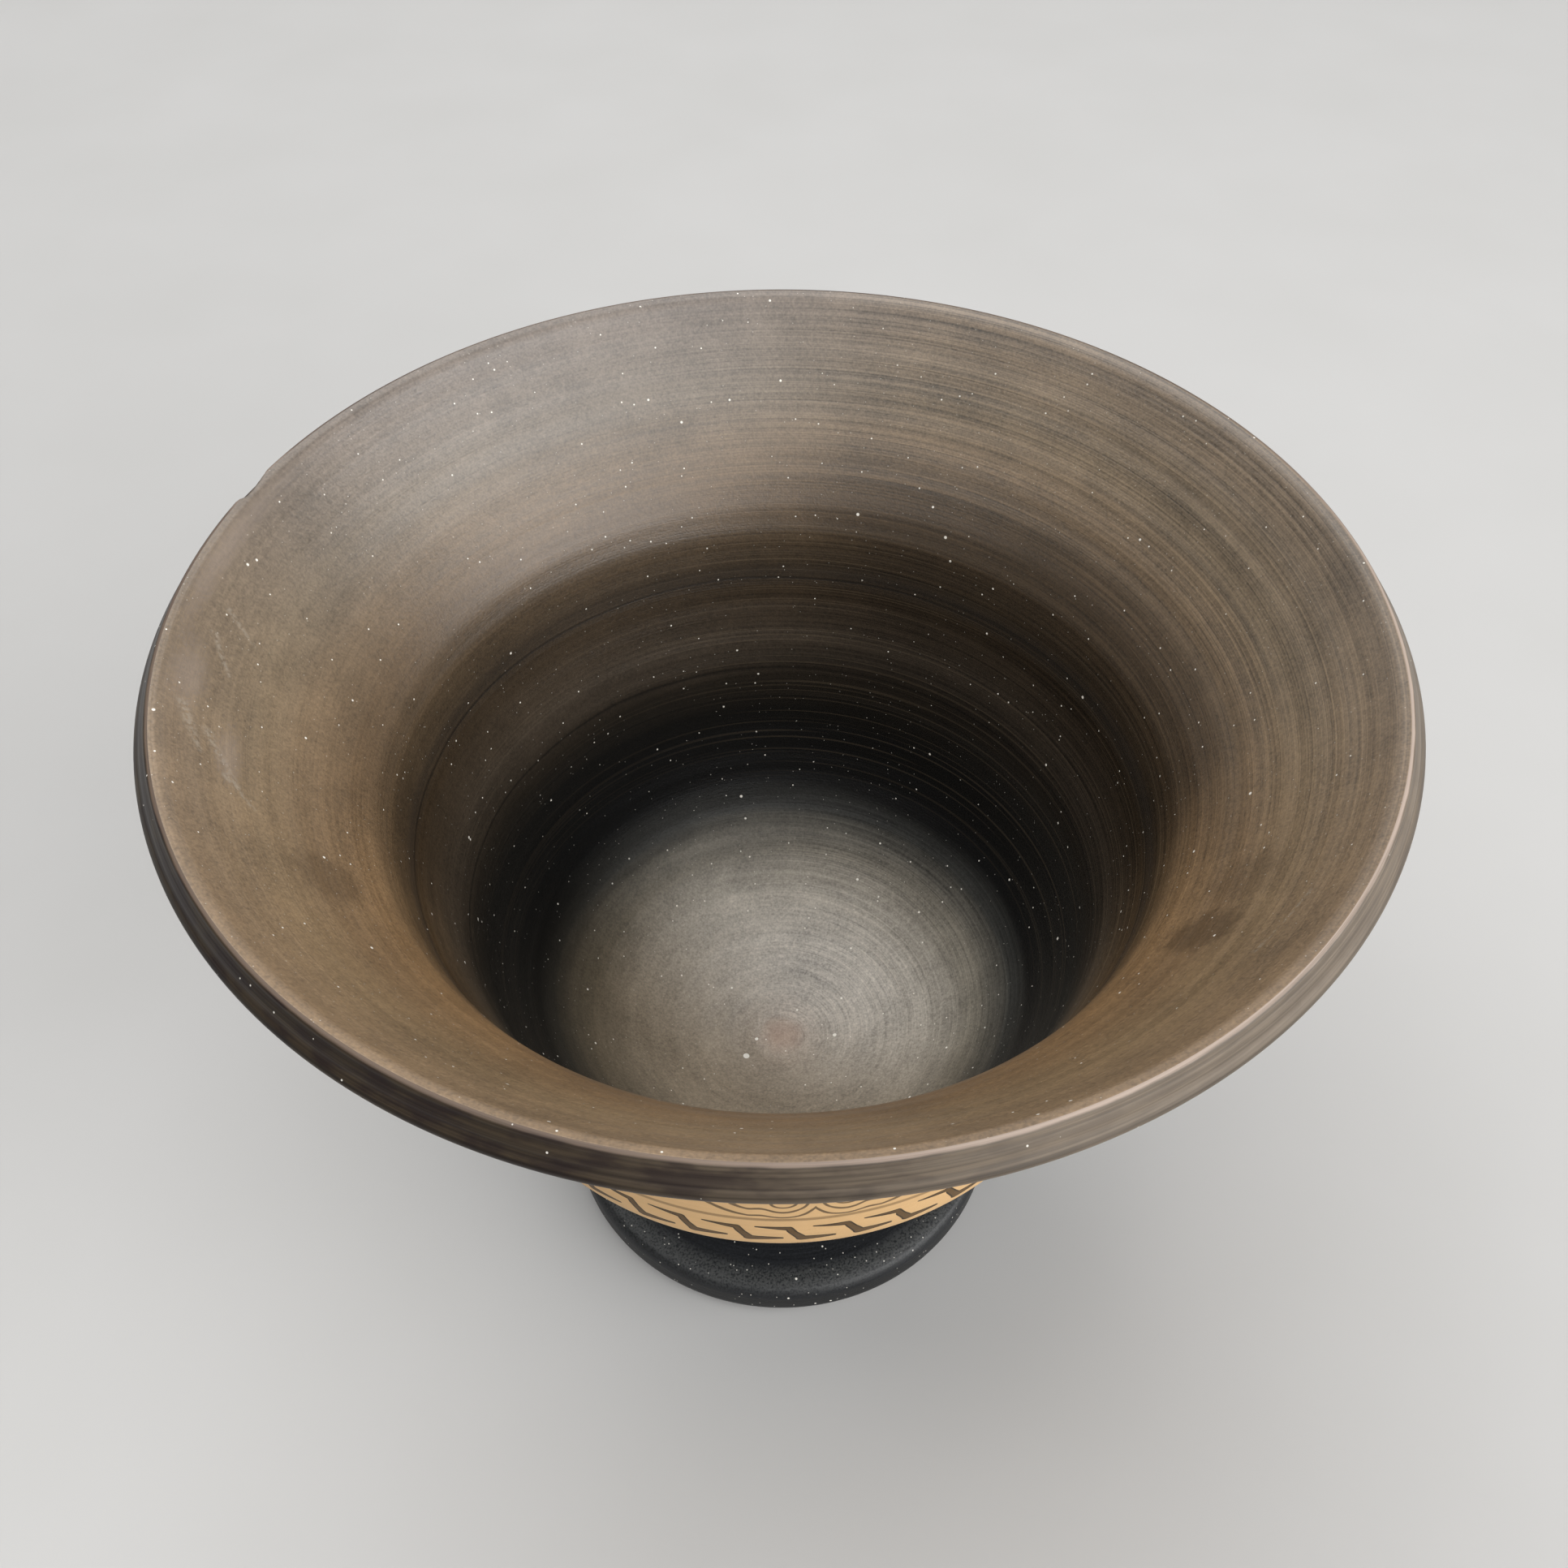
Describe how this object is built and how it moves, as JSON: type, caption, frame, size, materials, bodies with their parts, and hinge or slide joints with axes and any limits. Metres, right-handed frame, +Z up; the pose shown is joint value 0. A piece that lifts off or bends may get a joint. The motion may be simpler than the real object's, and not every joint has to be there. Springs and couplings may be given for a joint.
{
  "type": "bell krater",
  "caption": "Wheel-thrown clay mixing bowl with a wide flaring mouth, rounded lip, painted border, short stem, disc foot and upturned loop handles.",
  "frame": {"origin": "centre of the underside of the foot, where the vessel stands", "axes": "+Z up along the axis of the bowl; the handles point along +X and -X; -Y is the front"},
  "size_m": [0.319, 0.319, 0.248],
  "materials": {
    "fired_clay": "satin smoky brown-black slip with fine wheel lines, a bare buff zone with brown painted borders round the body"
  },
  "bodies": {
    "root": {"krater": "fired_clay"}
  },
  "joints": []
}
